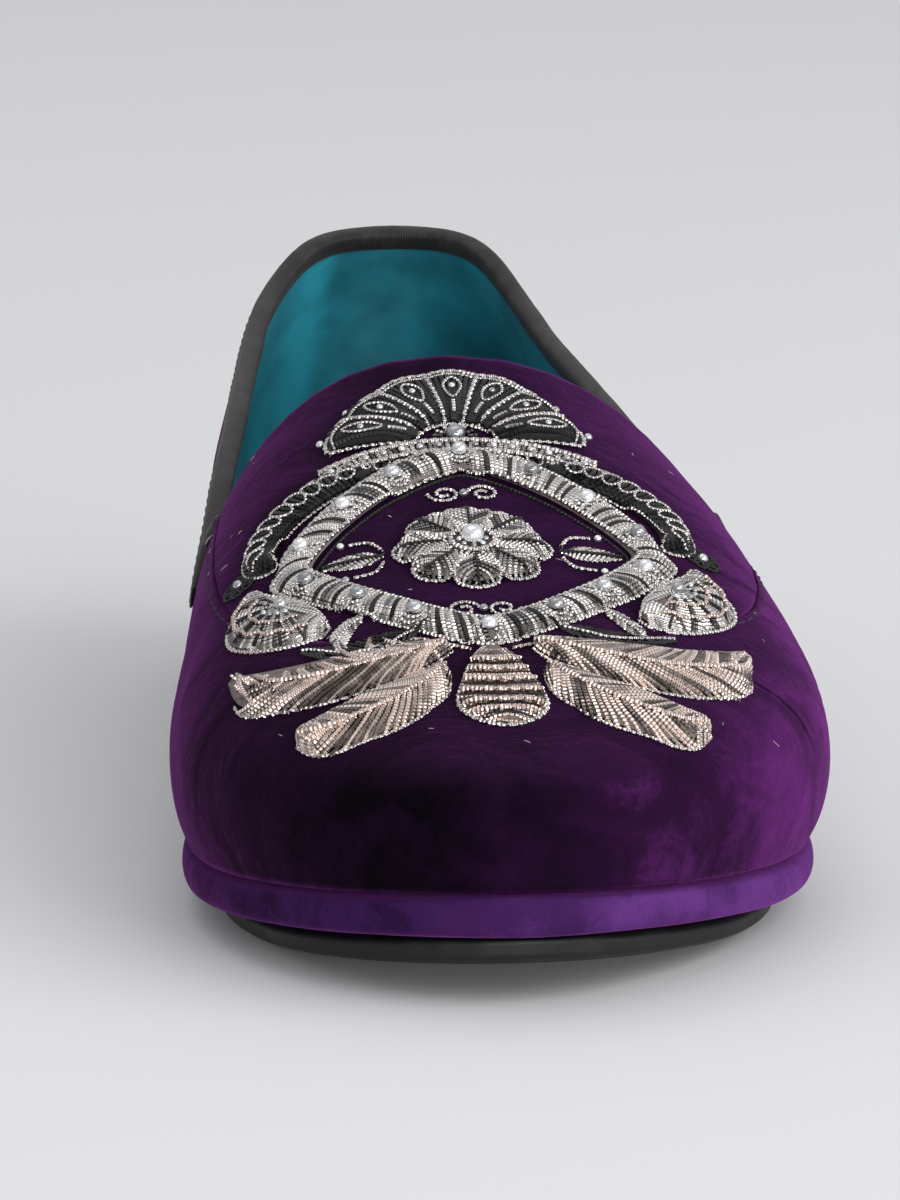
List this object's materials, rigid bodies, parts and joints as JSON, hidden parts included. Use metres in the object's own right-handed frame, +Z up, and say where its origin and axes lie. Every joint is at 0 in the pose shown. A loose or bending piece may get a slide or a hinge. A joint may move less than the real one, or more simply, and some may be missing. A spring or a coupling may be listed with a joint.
{
  "type": "slipper loafer",
  "caption": "Velvet slipper loafer with a padded metal-thread embroidery on its apron tongue, a bound collar, a covered platform and a low heel; for a left foot.",
  "frame": {"origin": "on the floor, under the middle of the shoe's bounding box", "axes": "+Z up, the toe points along -Y and the heel along +Y; the shoe's inner side, where the big toe goes, is towards -X"},
  "size_m": [0.1084, 0.2836, 0.0787],
  "materials": {
    "velvet": "deep purple velvet with a short nap",
    "platform_velvet": "blue-violet velvet",
    "binding": "black ribbed tape",
    "sole_black": "matt black rubber",
    "lining_teal": "teal satin",
    "silver_wire": "silver metal thread",
    "dark_wire": "black thread outlined in silver metal thread",
    "rose_wire": "champagne metal thread"
  },
  "bodies": {
    "root": {"upper": "velvet", "tongue": "velvet", "collar_binding": "binding", "midsole": "platform_velvet", "outsole": "sole_black", "heel_block": "sole_black", "heel_top_piece": "sole_black", "insole": "lining_teal", "palmette": "dark_wire", "curl_outer": "dark_wire", "curl_inner": "dark_wire", "lozenge": "silver_wire", "rosette": "silver_wire", "side_bud_outer": "silver_wire", "side_bud_inner": "silver_wire", "bell": "rose_wire", "upper_leaf_outer": "rose_wire", "upper_leaf_inner": "rose_wire", "lower_leaf_outer": "rose_wire", "lower_leaf_inner": "rose_wire"}
  },
  "joints": []
}
